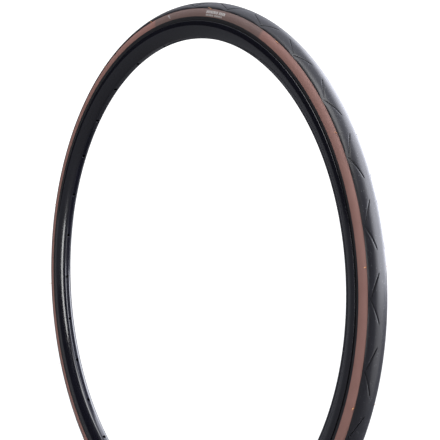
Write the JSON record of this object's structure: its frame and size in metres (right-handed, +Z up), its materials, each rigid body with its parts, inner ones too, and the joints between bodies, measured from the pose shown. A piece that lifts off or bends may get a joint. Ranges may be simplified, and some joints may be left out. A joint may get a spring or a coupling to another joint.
{
  "type": "bicycle tyre",
  "caption": "Narrow road bicycle tyre with a near-slick grooved tread and brown sides, mounted and inflated on a bare hollow rim with its inner tube and valve.",
  "frame": {"origin": "the wheel's centre, on its axle line and midway between its two sides", "axes": "+Y along the wheel's axle line, +Z up, with the valve at the bottom and pointing up to the centre"},
  "size_m": [0.6809, 0.033, 0.6808],
  "materials": {
    "tread_rubber": "matte black tread rubber",
    "side_coat": "brown side coat, satin",
    "chafer_rubber": "black bead strip, satin",
    "casing_cord": "rubbered cord ply",
    "belt_cord": "rubbered belt cloth",
    "bead_wire": "drawn wire",
    "rim_black": "glossy black",
    "sleeve_metal": "plain",
    "tape_cloth": "woven tape",
    "tube_rubber": "black, powdered",
    "valve_brass": "nickel plated",
    "pin_brass": "plain brass",
    "seal_rubber": "black",
    "cap_plastic": "moulded black",
    "hair_rubber": "thin tan moulding flash"
  },
  "bodies": {
    "root": {"tread": "tread_rubber", "puncture_belt": "belt_cord", "casing_ply_inner": "casing_cord", "casing_ply_outer": "casing_cord", "bead_core_left": "bead_wire", "bead_core_right": "bead_wire", "chafer_left": "chafer_rubber", "chafer_right": "chafer_rubber", "sidewall_left": "side_coat", "sidewall_right": "side_coat", "vent_hairs_left": "hair_rubber", "vent_hairs_right": "hair_rubber", "rim": "rim_black", "rim_joint_sleeve": "sleeve_metal", "rim_tape": "tape_cloth", "inner_tube": "tube_rubber", "valve_patch": "tube_rubber", "valve_stem": "valve_brass", "valve_core": "pin_brass", "core_gasket": "seal_rubber"},
    "locknut": {"valve_locknut": "valve_brass"},
    "cap": {"dust_cap": "cap_plastic"},
    "pin": {"valve_pin": "pin_brass", "pin_seal": "seal_rubber"},
    "knurl": {"pin_nut": "pin_brass"}
  },
  "joints": [
    {"name": "locknut_travel", "type": "slide", "parent": "root", "child": "locknut", "axis": [0, 0, 1], "range_m": [0, 0.018]},
    {"name": "cap_slide", "type": "slide", "parent": "root", "child": "cap", "axis": [0, 0, 1], "range_m": [0, 0.025]},
    {"name": "pin_press", "type": "slide", "parent": "root", "child": "pin", "axis": [0, 0, -1], "range_m": [0, 0.002], "stiffness_N_per_m": 200},
    {"name": "knurl_travel", "type": "slide", "parent": "pin", "child": "knurl", "axis": [0, 0, 1], "range_m": [0, 0.0008]}
  ]
}
